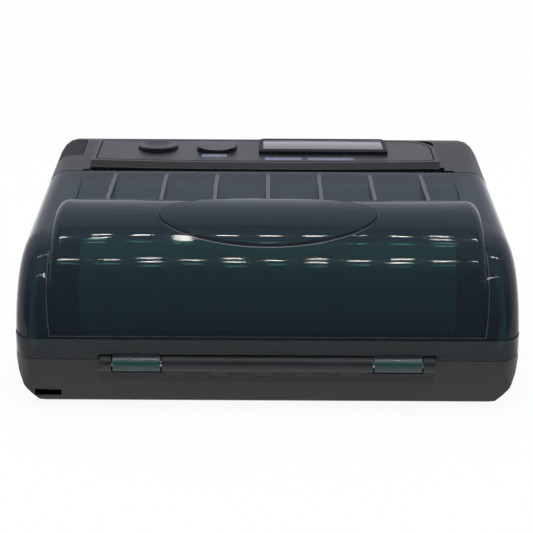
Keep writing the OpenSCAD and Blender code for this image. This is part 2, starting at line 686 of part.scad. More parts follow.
module feed_key() color("#2f333a") case_frame() translate([feed_x, key_y, 0]) {
    size = feed_size / 2;
    difference() {
        translate([0, 0, 36.2 - eps])
            rounded_plate([-size[0], size[0]], [-size[1], size[1]], 2.2, key_top - 36.2 + eps);
        translate([0, 0, key_top + 14.5]) rotate([90, 0, 0]) cylinder(r = 15, h = 30, center = true);
    }
    translate([0, 0, pad_top + key_travel + 0.1]) rounded_plate([-size[0] - 0.8, size[0] + 0.8],
        [-size[1] - 0.8, size[1] + 0.8], 2.6, 36.2 - pad_top - key_travel - 0.1);
}

// Button that frees the cover, flush with the corner of the top
module release_button() color("#121417") case_frame() {
    intersection() {
        upper_block();
        translate([0, 0, button_bottom]) rounded_plate(button_x, button_y, 1, 20);
    }
    block([-50.2, button_y[0] + 1, button_bottom - 1.4], [-46.4, button_y[1] - 2.4, button_bottom + eps]);
    block([-46.9, 74, 29.35], [-46.1, 76, button_bottom]);
}

module release_spring() color("#d0d3d6") case_frame() translate([-49.1, 75, spring_z + 0.24])
    coil(1.5, 0.22, (button_bottom - 1.4 - spring_z - 0.5) / 4, 4);

module lever_post() color("#c9ccd0") case_frame() {
    rod(-47.5, -cheek_x[1], lever_pivot, 1);
    rod(-47.7, -47.2, lever_pivot, 1.8);
}

// Lever that reaches from the button to the end of the platen shaft, balanced by its heavier tail
module release_lever() color("#a9adb2") case_frame() difference() {
    union() {
        rod(lever_x[0], lever_x[1], lever_pivot, 2.6);
        across(lever_x[0], lever_x[1]) polygon([[66.4, 22.3], [52.2, 21.6], [51.4, 23.2], [52, 24.2],
            [54.2, 24.2], [60, 24.6], [65.2, 26.7], [73, 29], [80, 29], [80, 25.4], [77.6, 25.4],
            [76.6, 27.6], [73.6, 27.2]]);
    }
    rod(-48, -45, lever_pivot, 1.05);
}

module paper_roll() color("#f1f0ea") case_frame() difference() {
    rod(-paper_w / 2, paper_w / 2, roll_axis, roll_r);
    rod(-60, 60, roll_axis, core_r);
}

module roll_core() color("#b99a6b") case_frame() difference() {
    rod(-paper_w / 2, paper_w / 2, roll_axis, core_r);
    rod(-60, 60, roll_axis, core_bore);
}

// Floor of the field behind the dome, from where the scoured field starts to the rear edge
function field_z(y) = y < trough_rear
    ? trough_low + (y - trough_front) * (top_z(trough_rear) - trough_low) / (trough_rear - trough_front) : top_z(y);

// Raised oval pad for the thumb, which follows the dome and rises to its level in two small steps
module thumb_pad() for (s = pad_steps) intersection() {
    rod(-60, 60, dome_axis, dome_r + s[1], $fn = 144);
    translate([0, dome_axis[0], dome_axis[1]]) rotate([90 - pad_angle, 0, 0]) linear_extrude(60)
        polygon([for (i = [0 : 59]) [(pad_w / 2 - s[0]) * cos(6 * i), (pad_half - s[0]) * sin(6 * i)]]);
}

// Clear cover: dome, wings and the bladed field, with the front half of the side walls
module cover_shell() color("#123a3c") case_frame() {
    low = seam_z + seam_gap;
    difference() {
        union() {
            intersection() {
                union() {
                    upper_block();
                    dome_block();
                    thumb_pad();
                }
                block([-60, -1, low], [60, cover_end, 60]);
            }
            intersection() {
                translate([0, 0, low]) linear_extrude(skirt_z - low) polygon(plan_outline(0));
                block([-60, -1, 0], [60, edge_d + 1.5, 60]);
            }
        }
        // The inside, which keeps a floor below the field
        difference() {
            union() {
                upper_block(wall);
                across(-dome_w / 2 + dome_draft + wall, dome_w / 2 - dome_draft - wall)
                    polygon(concat(arc_points(dome_axis, dome_r - wall, 180, 50, 26), [[dome_axis[0], 5], [4, 5]]));
            }
            across(-trough_w / 2 - 1.5, trough_w / 2 + 1.5)
                polygon([[34, field_z(trough_front) - wall + 0.4], [trough_rear, field_z(trough_rear) - wall],
                    [60, top_z(60) - wall], [60, 60], [34, 60]]);
        }
        // The sunk field
        across(-trough_w / 2, trough_w / 2) polygon([[trough_front, trough_low], [trough_rear, field_z(trough_rear)],
            [trough_rear, 60], [30, 60], [trough_front - 1.1, 36.4]]);
        // Room for the barrel of the lower case
        rod(-ear_x[1] - hinge_gap, ear_x[1] + hinge_gap, hinge, hinge_r + hinge_gap);
        block([-ear_x[1] - hinge_gap, -3, 0], [ear_x[1] + hinge_gap, hinge[0], hinge[1] + hinge_r + hinge_gap]);
    }
    // Blades, which end level with the field at the rear
    for (i = [0 : blade_count - 1]) translate([(i - (blade_count - 1) / 2) * blade_pitch, 0, 0]) intersection() {
        across(-2, 2) polygon([[33.5, 32.6], [trough_rear + 1, 35.2], [trough_rear + 0.4, top_z(trough_rear) + 0.1],
            [trough_rear - 0.5, 36.25], [33.5, 35.7]]);
        along(30, 60) polygon([[-blade_t / 2 - blade_draft, 32], [blade_t / 2 + blade_draft, 32],
            [blade_t / 2, 36.6], [-blade_t / 2, 36.6]]);
    }
    // Knuckles
    mirrored() difference() {
        union() {
            rod(knuckle_x[0], knuckle_x[1], hinge, hinge_r);
            across(knuckle_x[0], knuckle_x[1])
                polygon([[-0.6, 10.2], [1.7, 10.2], [2.2, 12.6], [0.5, 12.6], [-0.4, 11.4]]);
        }
        rod(knuckle_x[0] - 1, knuckle_x[1] + 1, hinge, pin_r + 0.05);
    }
}

// Carrier under the rear of the cover that holds the platen
module platen_carrier() color("#1d2024") case_frame() {
    ceiling = function (y) field_z(y) - wall - 0.03;
    difference() {
        across(-42.6, 42.6) difference() {
            polygon([[44.4, ceiling(44.4)], [54.6, ceiling(54.6)], [56.6, ceiling(56.6)], [56.6, 36.1],
                [57.1, 36.1], [57.35, 35.8], [57.35, 31.2], [52, 31], [48.4, 25.4], [46.6, 25], [44.4, 29.6]]);
            translate(platen_axis) circle(r = platen_r + 0.5);
        }
        for (x = carrier_screw_x) translate([x, 46.2, 20]) cylinder(r = 0.8, h = 30);
    }
    mirrored() across(41.3, 42.6) difference() {
        union() {
            translate(platen_axis) circle(r = bush_r + 1.1);
            translate([platen_axis[0] - 4, platen_axis[1]]) square([7, 5]);
        }
        translate(platen_axis) circle(r = bush_r);
    }
}

module carrier_screws() color("#8f9398") case_frame() for (x = carrier_screw_x) translate([x, 46.2, 0]) {
    translate([0, 0, 23.6]) cylinder(r = 1.5, h = 1.2);
    translate([0, 0, 24.6]) cylinder(r = 0.75, h = 7.6);
}

module platen_bushes() color("#e8e4d8") case_frame() mirrored() difference() {
    rod(41.3, 44.2, platen_axis, bush_r);
    rod(40, 46, platen_axis, shaft_r + 0.05);
}

module platen_rubber() color("#2a2b2d") case_frame() difference() {
    rod(-40.4, 40.4, platen_axis, platen_r);
    rod(-50, 50, platen_axis, shaft_r);
}

module platen_shaft() color("#d0d3d6") case_frame() rod(-47.6, plane_1[1] + 0.1, platen_axis, shaft_r);

module platen_gear() color("#e6e2d6") case_frame()
    gear(plane_1, platen_axis, platen_teeth, direction(platen_axis, idler_axis), shaft_r + 0.02);

bottom_case();
rubber_feet();
battery_door();
battery_pack();
paper_tub();
top_case();
panel_plate();
status_window();
key_board();
key_pad();
status_leds();
main_board();
usb_socket();
dc_socket();
head_frame();
heat_sink();
print_head();
head_springs();
stepper_motor();
motor_pinion();
idler_post();
idler_gear();
tear_bar();
paper_sensor();
hinge_pin();
case_screws();
power_key();
feed_key();
release_button();
release_spring();
lever_post();
release_lever();
paper_roll();
roll_core();
cover_shell();
platen_carrier();
carrier_screws();
platen_bushes();
platen_rubber();
platen_shaft();
platen_gear();
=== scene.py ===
# %% [markdown]
# # A portable receipt printer
# The printer is a palm-sized black box. A hinged cover of smoky teal plastic closes over a roll of paper,
# and a raised strip behind the paper slot carries two keys and a status window. The exact solids come
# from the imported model, which is loaded first and never moved. Blender then gives each piece its finish
# and adds the small things that are easier to make as meshes.

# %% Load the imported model
import math

import bmesh
import bpy
from mathutils import Matrix, Vector


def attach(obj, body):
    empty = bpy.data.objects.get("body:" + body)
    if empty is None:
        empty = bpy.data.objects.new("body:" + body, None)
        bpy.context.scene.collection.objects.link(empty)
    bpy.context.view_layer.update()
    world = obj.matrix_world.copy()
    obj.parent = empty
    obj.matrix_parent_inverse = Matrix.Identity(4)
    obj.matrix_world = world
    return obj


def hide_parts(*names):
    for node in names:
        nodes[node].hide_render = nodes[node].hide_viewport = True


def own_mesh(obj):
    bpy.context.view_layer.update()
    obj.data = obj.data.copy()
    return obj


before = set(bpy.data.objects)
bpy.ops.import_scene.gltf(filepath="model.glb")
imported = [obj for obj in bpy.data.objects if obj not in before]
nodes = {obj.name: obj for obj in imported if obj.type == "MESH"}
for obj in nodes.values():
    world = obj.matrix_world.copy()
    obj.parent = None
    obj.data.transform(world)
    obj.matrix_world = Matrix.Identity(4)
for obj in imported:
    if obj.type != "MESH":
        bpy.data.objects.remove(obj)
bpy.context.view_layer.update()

# %% [markdown]
# ## Sizes shared with the solids
# Lengths are written in millimetres and turned to metres by MM. The solids were drawn in the case's own
# coordinates, with Y counted back from the front face and Z up from the underside of the case. The
# function at() moves such a point to the frame of the part, whose origin is under the middle of the feet.

# %% Units and the case's coordinates
MM = 0.001
FRONT_REACH = 1.45
BODY_L = 104.0
FOOT_H = 0.8
ORIGIN_Y = (FRONT_REACH - BODY_L) / 2


def at(x, y, z):
    """A point given in case coordinates, in metres in the frame of the part."""
    return Vector((x, y + ORIGIN_Y, z + FOOT_H)) * MM


# %% [markdown]
# ## Colour
# Colours are given as sRGB hex values, as any paint program shows them, and shaders want linear light. One
# function does that change, so every colour below can be read and compared on screen.

# %% Hex to linear
def linear(hex_colour):
    """An sRGB hex colour as the linear RGBA that a shader socket takes."""
    value = hex_colour.lstrip("#")
    parts = [int(value[i:i + 2], 16) / 255 for i in (0, 2, 4)]
    return tuple(c / 12.92 if c <= 0.04045 else ((c + 0.055) / 1.055) ** 2.4 for c in parts) + (1.0,)


# %% [markdown]
# ## One way to build a material
# A material is a small tree of nodes. finish_of() starts one with a Principled shader, and add() puts a
# node into it with its settings, the values of its sockets, and links from other nodes. Everything that
# is the same all over a surface is set on the shader's own sockets; only patterns come through nodes.

# %% Material helpers
def add(material, kind, settings=None, inputs=None, **links):
    """Adds a node. links name a socket and the (node, output) that feeds it."""
    tree = material.node_tree
    node = tree.nodes.new(kind)
    for name, value in (settings or {}).items():
        setattr(node, name, value)
    for name, value in (inputs or {}).items():
        node.inputs[name].default_value = value
    for name, (source, output) in links.items():
        socket = node.inputs[int(name[1:])] if name[0] == "i" and name[1:].isdigit() else node.inputs[name]
        tree.links.new(source.outputs[output], socket)
    return node


def finish_of(name, colour, roughness, **sockets):
    """A new material with one Principled shader, and that shader."""
    material = bpy.data.materials.new(name)
    material.use_nodes = True
    shader = material.node_tree.nodes["Principled BSDF"]
    shader.inputs["Base Color"].default_value = linear(colour)
    shader.inputs["Roughness"].default_value = roughness
    for socket, value in sockets.items():
        shader.inputs[socket.replace("_", " ")].default_value = value
    return material, shader


def link(material, source, output, target, socket):
    material.node_tree.links.new(source.outputs[output], target.inputs[socket])


# %% [markdown]
# ## Patterns
# Moulded plastic is never one flat colour: the mould is spark eroded, which leaves a fine grain, and
# handling leaves it a little shinier in patches. grain() makes that bump from noise at the real grain's
# size, and mottle() lets the colour and the roughness drift slowly. Both read Object coordinates, so the
# pattern is fixed to the piece. Noise scale is in cycles per metre: one grain each 0.4 mm is 2500.

# %% Grain and mottle
def place(material):
    return add(material, "ShaderNodeTexCoord")


def grain(material, shader, size_mm, depth_mm, strength=0.5):
    noise = add(material, "ShaderNodeTexNoise", None, {"Scale": 1000 / size_mm, "Detail": 3.0},
                Vector=(place(material), "Object"))
    bump = add(material, "ShaderNodeBump", None, {"Strength": strength, "Distance": depth_mm * MM},
               Height=(noise, "Fac"))
    link(material, bump, "Normal", shader, "Normal")


def mottle(material, shader, low, high, size_mm, rough_low, rough_high):
    noise = add(material, "ShaderNodeTexNoise", None, {"Scale": 1000 / size_mm, "Detail": 4.0},
                Vector=(place(material), "Object"))
    ramp = add(material, "ShaderNodeValToRGB", None, None, Fac=(noise, "Fac"))
    ramp.color_ramp.elements[0].position = 0.35
    ramp.color_ramp.elements[1].position = 0.68
    ramp.color_ramp.elements[0].color = linear(low)
    ramp.color_ramp.elements[1].color = linear(high)
    link(material, ramp, "Color", shader, "Base Color")
    span = add(material, "ShaderNodeMapRange", None, {"From Min": 0.3, "From Max": 0.7,
               "To Min": rough_low, "To Max": rough_high}, Value=(noise, "Fac"))
    link(material, span, "Result", shader, "Roughness")
    return ramp


# %% [markdown]
# ## The black case
# The lower case and the rear housing are ABS, injection moulded in a tool with a fine spark finish. It
# reads as near-black with a soft, wide sheen where light grazes it.

# %% Textured and satin ABS
textured_abs, shader = finish_of("textured_black_abs", "#25272b", 0.42, Specular_IOR_Level=0.5)
mottle(textured_abs, shader, "#222428", "#282a2f", 9, 0.38, 0.48)
grain(textured_abs, shader, 0.45, 0.03, 0.35)

satin_abs, shader = finish_of("satin_black_abs", "#282a2f", 0.4, Specular_IOR_Level=0.4)
mottle(satin_abs, shader, "#26282d", "#2b2d32", 7, 0.32, 0.42)
grain(satin_abs, shader, 0.3, 0.015, 0.3)

inner_abs, shader = finish_of("plain_grey_abs", "#33373c", 0.5)
mottle(inner_abs, shader, "#303439", "#373b41", 8, 0.45, 0.58)
grain(inner_abs, shader, 0.6, 0.02, 0.3)
print("case finishes:", textured_abs.name, satin_abs.name, inner_abs.name)

# %% [markdown]
# ## Polished and matt black
# The platen carrier and the sockets are polished black, which mirrors the room sharply. Polishing leaves
# faint waves, drawn here as very shallow noise of a few millimetres. The release button and the window's
# frame are blasted matt instead, so they take light from all sides and stay dull.

# %% Polished black
polished_black, shader = finish_of("polished_black_abs", "#0d0e10", 0.12, Coat_Weight=0.4,
                                   Coat_Roughness=0.04)
mottle(polished_black, shader, "#0c0d0f", "#101114", 5, 0.1, 0.18)
grain(polished_black, shader, 4, 0.01, 0.15)

# %% Matt black
matt_black, shader = finish_of("matt_black_abs", "#23252d", 0.62, Specular_IOR_Level=0.25)
mottle(matt_black, shader, "#20222a", "#272932", 4, 0.58, 0.7)
grain(matt_black, shader, 0.3, 0.02, 0.4)
print("black finishes:", polished_black.name, matt_black.name)

# %% [markdown]
# ## The smoky teal cover
# The cover is polycarbonate tinted in the mass with a blue-green smoke and polished on both faces. Light
# that goes through it is dimmed and coloured, so the paper roll shows as a dull teal shape. A true glass
# shader would keep lamps from lighting what is inside, so a Transparent shader with the tint stands for
# what comes through, and a dark glossy Principled shader for the surface. Fresnel decides their share.

# %% Smoke-tinted polycarbonate
smoke_cover, shader = finish_of("smoke_teal_polycarbonate", "#333d49", 0.04, IOR=1.58)
tint = add(smoke_cover, "ShaderNodeBsdfTransparent", None, {"Color": linear("#9ccfca")})
facing = add(smoke_cover, "ShaderNodeFresnel", None, {"IOR": 1.45})
share = add(smoke_cover, "ShaderNodeMapRange", None, {"From Min": 0.03, "From Max": 0.6, "To Min": 0.38,
            "To Max": 1.0}, Value=(facing, "Fac"))
mix = add(smoke_cover, "ShaderNodeMixShader", None, None, i0=(share, "Result"), i1=(tint, "BSDF"),
          i2=(shader, "BSDF"))
link(smoke_cover, mix, "Shader", smoke_cover.node_tree.nodes["Material Output"], "Surface")
ripple = add(smoke_cover, "ShaderNodeTexNoise", None, {"Scale": 1000 / 14, "Detail": 2.0},
             Vector=(place(smoke_cover), "Object"))
bump = add(smoke_cover, "ShaderNodeBump", None, {"Strength": 0.2, "Distance": 0.02 * MM},
           Height=(ripple, "Fac"))
link(smoke_cover, bump, "Normal", shader, "Normal")

# %% [markdown]
# Along its foot, below the ledge under the dome, the cover's base colour is painted greyer and lighter than
# on the dome: a painted reflection of the pale floor that the foot faces. The base colour follows the height
# through a ramp that changes within a millimetre.

# %% Painted reflection on the foot of the cover
LEDGE_Z = 14.8
tall = add(smoke_cover, "ShaderNodeSeparateXYZ", None, None, Vector=(place(smoke_cover), "Object"))
above = add(smoke_cover, "ShaderNodeMapRange", None, {"From Min": (LEDGE_Z + FOOT_H - 0.4) * MM,
            "From Max": (LEDGE_Z + FOOT_H + 0.4) * MM}, Value=(tall, "Z"))
# painted reflection: the base colour below the ledge is lighter and greyer than on the dome
foot_painted_light_ramp = add(smoke_cover, "ShaderNodeValToRGB", None, None, Fac=(above, "Result"))
foot_painted_light_ramp.color_ramp.elements[0].color = linear("#42484d")
foot_painted_light_ramp.color_ramp.elements[1].color = linear("#35404c")
link(smoke_cover, foot_painted_light_ramp, "Color", shader, "Base Color")
print(smoke_cover.name, "has", len(smoke_cover.node_tree.nodes), "nodes")

# %% [markdown]
# ## Rubbers, metals and the rest
# Each is what the real part is: ground nitrile rubber on the platen, silicone pads, zinc-plated steel
# pressings, drawn spring wire, an aluminium heat sink, acetal gears, a brass pinion, glass-filled boards
# under green solder mask, and thermal paper, which is smooth and slightly glossy. Grinding leaves rubber
# dull and even. Rolling, drawing and turning leave fine lines along the metal, and they stretch its
# highlights. Glazed and coated pieces mirror the lamps more sharply than moulded ones.

# %% Rubbers
nitrile, shader = finish_of("ground_nitrile_rubber", "#2a2a2b", 0.75)
mottle(nitrile, shader, "#262627", "#2f2f30", 3, 0.68, 0.85)
grain(nitrile, shader, 0.35, 0.04, 0.6)

silicone, shader = finish_of("grey_silicone", "#777b80", 0.6)
mottle(silicone, shader, "#73777c", "#7d8186", 3, 0.55, 0.68)
print("rubbers:", nitrile.name, silicone.name)

# %% Metals
def metal(name, colour, low, high, roughness, line_mm, along):
    """A metal with fine lines left by rolling, drawing or brushing. along is the axis they run on."""
    material, shader = finish_of(name, colour, roughness, Metallic=1.0)
    stretch = [1.0, 1.0, 1.0]
    stretch[along] = 0.02
    scaled = add(material, "ShaderNodeMapping", None, {"Scale": stretch}, Vector=(place(material), "Object"))
    noise = add(material, "ShaderNodeTexNoise", None, {"Scale": 1000 / line_mm, "Detail": 3.0},
                Vector=(scaled, "Vector"))
    ramp = add(material, "ShaderNodeValToRGB", None, None, Fac=(noise, "Fac"))
    ramp.color_ramp.elements[0].color = linear(low)
    ramp.color_ramp.elements[1].color = linear(high)
    link(material, ramp, "Color", shader, "Base Color")
    span = add(material, "ShaderNodeMapRange", None, {"To Min": roughness - 0.08, "To Max": roughness + 0.1},
               Value=(noise, "Fac"))
    link(material, span, "Result", shader, "Roughness")
    bump = add(material, "ShaderNodeBump", None, {"Strength": 0.25, "Distance": 0.01 * MM},
               Height=(noise, "Fac"))
    link(material, bump, "Normal", shader, "Normal")
    return material


zinc_steel = metal("zinc_plated_steel", "#a4a6a8", "#97999b", "#b0b2b4", 0.34, 0.5, 0)
ground_steel = metal("ground_steel", "#b9bbbd", "#adafb1", "#c6c8ca", 0.2, 0.3, 0)
spring_wire = metal("drawn_spring_wire", "#a5a5a2", "#999996", "#b2b2af", 0.28, 0.3, 1)
milled_aluminium = metal("milled_aluminium", "#bfc2c4", "#b3b6b8", "#cbced0", 0.32, 0.4, 0)
turned_brass = metal("turned_brass", "#c39a4b", "#b48b3e", "#cfa85a", 0.26, 0.3, 0)
print("metals:", [m.name for m in (zinc_steel, ground_steel, spring_wire, milled_aluminium, turned_brass)])

# %% Gears, boards, ceramic, card and paper
acetal, shader = finish_of("natural_acetal", "#ddd8c9", 0.38)
mottle(acetal, shader, "#d8d3c4", "#e2ddcf", 3, 0.33, 0.45)

solder_mask, shader = finish_of("green_solder_mask", "#1f5a3c", 0.3, Coat_Weight=0.2)
mottle(solder_mask, shader, "#1b5136", "#246444", 1.5, 0.26, 0.38)

ceramic, shader = finish_of("glazed_ceramic", "#d9d5c8", 0.18, Coat_Weight=0.3, Coat_Roughness=0.05)
mottle(ceramic, shader, "#d3cfc2", "#dedacd", 4, 0.14, 0.25)

lamp_resin, shader = finish_of("clear_lamp_resin", "#d5e2da", 0.2)
mottle(lamp_resin, shader, "#cfddd4", "#dde9e1", 1, 0.15, 0.28)

cell_wrap, shader = finish_of("printed_cell_wrap", "#3a4046", 0.4)
mottle(cell_wrap, shader, "#363c42", "#40464d", 10, 0.35, 0.48)
grain(cell_wrap, shader, 1.2, 0.03, 0.3)

wound_card, shader = finish_of("wound_card", "#b0926a", 0.8)
mottle(wound_card, shader, "#a5875f", "#bb9d75", 2, 0.74, 0.9)
grain(wound_card, shader, 0.5, 0.05, 0.5)

thermal_paper, shader = finish_of("coated_thermal_paper", "#f2f1ec", 0.45)
paper_ramp = mottle(thermal_paper, shader, "#efeee9", "#f5f4f0", 12, 0.4, 0.52)
grain(thermal_paper, shader, 0.25, 0.008, 0.3)
print("materials so far:", len(bpy.data.materials))

# %% [markdown]
# ## The roll's ends
# On its flat ends the roll shows the edges of its layers as fine rings. The distance from the roll's axis
# drives a noise of one dimension, and the ends are told from the outside by which way the surface faces.

# %% Wound layers
ROLL_AXIS = (22.8, 19.0)
LAYER_MM = 0.25                 # four sheets to a ring: a single one, 0.06 mm, is too fine to show
axis = at(0, *ROLL_AXIS)
across = add(thermal_paper, "ShaderNodeVectorMath", {"operation": "MULTIPLY_ADD"}, None,
             i0=(place(thermal_paper), "Object"))
across.inputs[1].default_value = (0, 1, 1)
across.inputs[2].default_value = (0, -axis.y, -axis.z)
radius = add(thermal_paper, "ShaderNodeVectorMath", {"operation": "LENGTH"}, None, i0=(across, "Vector"))
layers = add(thermal_paper, "ShaderNodeTexNoise", {"noise_dimensions": "1D"},
             {"Scale": 1000 / LAYER_MM, "Detail": 2.0}, W=(radius, "Value"))
rings = add(thermal_paper, "ShaderNodeValToRGB", None, None, Fac=(layers, "Fac"))
rings.color_ramp.elements[0].position = 0.3
rings.color_ramp.elements[1].position = 0.7
rings.color_ramp.elements[0].color = linear("#c9c8c1")
rings.color_ramp.elements[1].color = linear("#f4f3ef")
facing = add(thermal_paper, "ShaderNodeSeparateXYZ", None, None, Vector=(place(thermal_paper), "Normal"))
on_end = add(thermal_paper, "ShaderNodeMath", {"operation": "ABSOLUTE"}, None, i0=(facing, "X"))
paper_colour = add(thermal_paper, "ShaderNodeMix", {"data_type": "RGBA"}, None, i0=(on_end, "Value"),
                   i6=(paper_ramp, "Color"), i7=(rings, "Color"))
thermal_paper.node_tree.links.new(paper_colour.outputs[2], shader.inputs["Base Color"])
print("rings", LAYER_MM, "mm apart round", tuple(round(c, 4) for c in axis))

# %% [markdown]
# ## Finishing the solids
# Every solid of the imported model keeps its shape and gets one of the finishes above. Its mesh is loose
# triangles, which would mirror light in facets, so three modifiers tidy how it is shaded and leave its
# own vertices alone. Weld joins the triangles, Edge Split parts them again where they meet at more than
# 28 degrees, which keeps real edges crisp, and Weighted Normal lets the largest face at a corner decide
# the shading, which keeps flats flat beside a rounding.

# %% Which finish goes on which solid
FINISHES = {
    textured_abs: ["bottom_case", "top_case", "battery_door"],
    satin_abs: ["panel_plate", "power_key", "feed_key"],
    inner_abs: ["paper_tub"],
    matt_black: ["release_button"],
    polished_black: ["status_window", "platen_carrier", "dc_socket", "paper_sensor"],
    smoke_cover: ["cover_shell"],
    nitrile: ["rubber_feet", "platen_rubber"],
    silicone: ["key_pad"],
    zinc_steel: ["head_frame", "stepper_motor", "case_screws", "carrier_screws", "release_lever"],
    ground_steel: ["hinge_pin", "platen_shaft", "idler_post", "lever_post", "tear_bar", "usb_socket"],
    spring_wire: ["head_springs", "release_spring"],
    milled_aluminium: ["heat_sink"],
    turned_brass: ["motor_pinion"],
    acetal: ["idler_gear", "platen_gear", "platen_bushes"],
    solder_mask: ["key_board", "main_board"],
    ceramic: ["print_head"],
    lamp_resin: ["status_leds"],
    cell_wrap: ["battery_pack"],
    wound_card: ["roll_core"],
    thermal_paper: ["paper_roll"],
}

SPLIT_ANGLE = math.radians(28)


def shade(obj):
    """Smooth shading with crisp edges, by modifiers alone."""
    obj.data.shade_smooth()
    weld = obj.modifiers.new("weld", "WELD")
    weld.merge_threshold = 0.001 * MM
    split = obj.modifiers.new("split", "EDGE_SPLIT")
    split.split_angle = SPLIT_ANGLE
    weighted = obj.modifiers.new("weighted", "WEIGHTED_NORMAL")
    weighted.weight = 50


for finish, names in FINISHES.items():
    for name in names:
        solid = nodes[name].data
        solid.materials.clear()
        solid.materials.append(finish)
        shade(nodes[name])
left_plain = sorted(set(nodes) - {n for names in FINISHES.values() for n in names})
print("finished solids:", len(nodes) - len(left_plain), "left plain:", left_plain)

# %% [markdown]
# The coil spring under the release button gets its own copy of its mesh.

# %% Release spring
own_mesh(nodes["release_spring"])

# %% [markdown]
# ## New pieces
# Some things on the printer are thinner or finer than its solids show: the pane set into its frame,
# the rim of the thumb pad, the frosted tops of the blades, the print beside the keys. Each is made with
# bmesh operators where it belongs, with its object at the origin, so it needs no moving afterwards.
# piece() turns a bmesh into an object that rides on a body of the model and so follows its joint.

# %% Helpers for the new pieces
CREASE = math.radians(35)


def piece(name, bm, finish, body):
    """A bmesh as an object that rides on a body, smooth but for its real edges."""
    for face in bm.faces:
        face.smooth = True
    for edge in bm.edges:
        edge.smooth = edge.calc_face_angle(0.0) < CREASE
    mesh = bpy.data.meshes.new(name)
    bm.to_mesh(mesh)
    bm.free()
    mesh.materials.append(finish)
    obj = bpy.data.objects.new(name, mesh)
    bpy.context.scene.collection.objects.link(obj)
    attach(obj, body)
    print(name, "faces", len(mesh.polygons), "rides on", body)
    return obj


def slab(bm, low, high):
    """A box between two corners, given in metres. Its eight vertices come back."""
    verts = bmesh.ops.create_cube(bm, size=1.0)["verts"]
    bmesh.ops.scale(bm, vec=high - low, verts=verts)
    bmesh.ops.translate(bm, vec=(low + high) / 2, verts=verts)
    return verts


def soften(bm, edges, offset_mm, segments):
    """Rounds edges with the editor's own defaults."""
    return bmesh.ops.bevel(bm, geom=edges, offset=offset_mm * MM, offset_type="OFFSET", segments=segments,
                           profile=0.5, affect="EDGES", material=-1)


# %% [markdown]
# ## The status window
# The window over the lamps is a dark frame with sloped sides and a smoky pane that lies a little lower.
# The frame starts as a box. Insetting its top face and lifting it makes the slopes, a second inset leaves
# the flat rim, and a third one, pushed down, makes the seat that the pane drops into.

# %% Frame and pane
WINDOW_X = (-2.3, 29.2)
WINDOW_Y = (66.7, 79.4)
WINDOW_FOOT, WINDOW_TOP = 37.85, 39.3
SLOPE_RUN, SLOPE_RISE = 0.7, 0.35
RIM_W = 0.3
SEAT_DEPTH, SEAT_DRAFT = 0.2, 0.03
PANE_INSET = 1.05

bm = bmesh.new()
slab(bm, at(WINDOW_X[0], WINDOW_Y[0], WINDOW_FOOT), at(WINDOW_X[1], WINDOW_Y[1], WINDOW_TOP - SLOPE_RISE))
top = [f for f in bm.faces if f.normal.z > 0.9]
for inward, upward in ((SLOPE_RUN, SLOPE_RISE), (RIM_W, 0), (SEAT_DRAFT, -SEAT_DEPTH)):
    bmesh.ops.inset_region(bm, faces=top, thickness=inward * MM, depth=upward * MM, use_even_offset=True)
sloped = [e for e in bm.edges if abs((e.verts[0].co - e.verts[1].co).normalized().z) > 0.3]
soften(bm, [e for e in sloped if e.calc_length() > 0.5 * MM], 0.5, 3)
window_frame = piece("window_frame", bm, matt_black, "case")
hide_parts("status_window")

smoky_pane, shader = finish_of("smoky_pane", "#5b5e60", 0.16, Coat_Weight=0.5, Coat_Roughness=0.03)
mottle(smoky_pane, shader, "#585b5d", "#606365", 6, 0.14, 0.22)
bm = bmesh.new()
slab(bm, at(WINDOW_X[0] + PANE_INSET, WINDOW_Y[0] + PANE_INSET, WINDOW_TOP - 0.3),
     at(WINDOW_X[1] - PANE_INSET, WINDOW_Y[1] - PANE_INSET, WINDOW_TOP - 0.08))
soften(bm, list(bm.edges), 0.05, 2)
piece("window_pane", bm, smoky_pane, "case")

# %% [markdown]
# ## Print beside the keys
# Three plain bars in a pale ink mark the keys and the window. The ink is a very thin layer, so each bar
# is a flat box with its upright edges rounded, tipped to lie on the sloping panel.

# %% Printed bars
PANEL_FRONT = (59.65, 37.83)
PANEL_SLOPE = (38.62 - 37.83) / (79.8 - 59.65)
INK_BARS = [(-16.2, -10.0, 64.2, 66.6), (-0.8, 8.2, 61.8, 64.0), (9.5, 20.7, 61.8, 64.0)]
INK_PROUD = 0.02

pale_ink, shader = finish_of("pale_lavender_ink", "#6d7189", 0.55)
mottle(pale_ink, shader, "#5c6078", "#7b7f98", 0.8, 0.5, 0.65)
lean = Matrix.Rotation(math.atan(PANEL_SLOPE), 3, "X")
bm = bmesh.new()
for x0, x1, y0, y1 in INK_BARS:
    middle = (y0 + y1) / 2
    z = PANEL_FRONT[1] + (middle - PANEL_FRONT[0]) * PANEL_SLOPE
    verts = slab(bm, at(x0, y0, z - INK_PROUD), at(x1, y1, z + INK_PROUD))
    bmesh.ops.rotate(bm, cent=at(0, middle, z), matrix=lean, verts=verts)
uprights = [e for e in bm.edges if abs((e.verts[0].co - e.verts[1].co).normalized().z) > 0.9]
soften(bm, uprights, 0.5, 4)
piece("printed_bars", bm, pale_ink, "case")

# %% [markdown]
# ## Border of the key panel
# A dark line of painted shade runs round the panel a little inside its edge, where the flat steps to its
# raised border; it is a thin band laid on the flat. It starts as one flat face. Its corners are rounded by a
# vertex bevel, an inset leaves a narrow band all round, and the face inside is deleted. The panel's front
# edge is bowed, so the band is divided along its length and moved back towards the sides. A fine bead along
# the lip's lower edge is bowed with it, and its lighter colour is a painted highlight.

# %% Painted shade line and bead
PANEL_X = (-42.7, 41.3)
PANEL_REAR = 80.3
PANEL_BORDER = 1.0
FRONT_CORNER, REAR_CORNER = 1.5, 7.0
SHADE_LINE_W = 0.3
SHADE_LINE_PROUD = 0.03
BEAD_R = 0.12
BEAD_AHEAD, BEAD_BELOW = 1.08, 1.41
BOW_R = 552.0


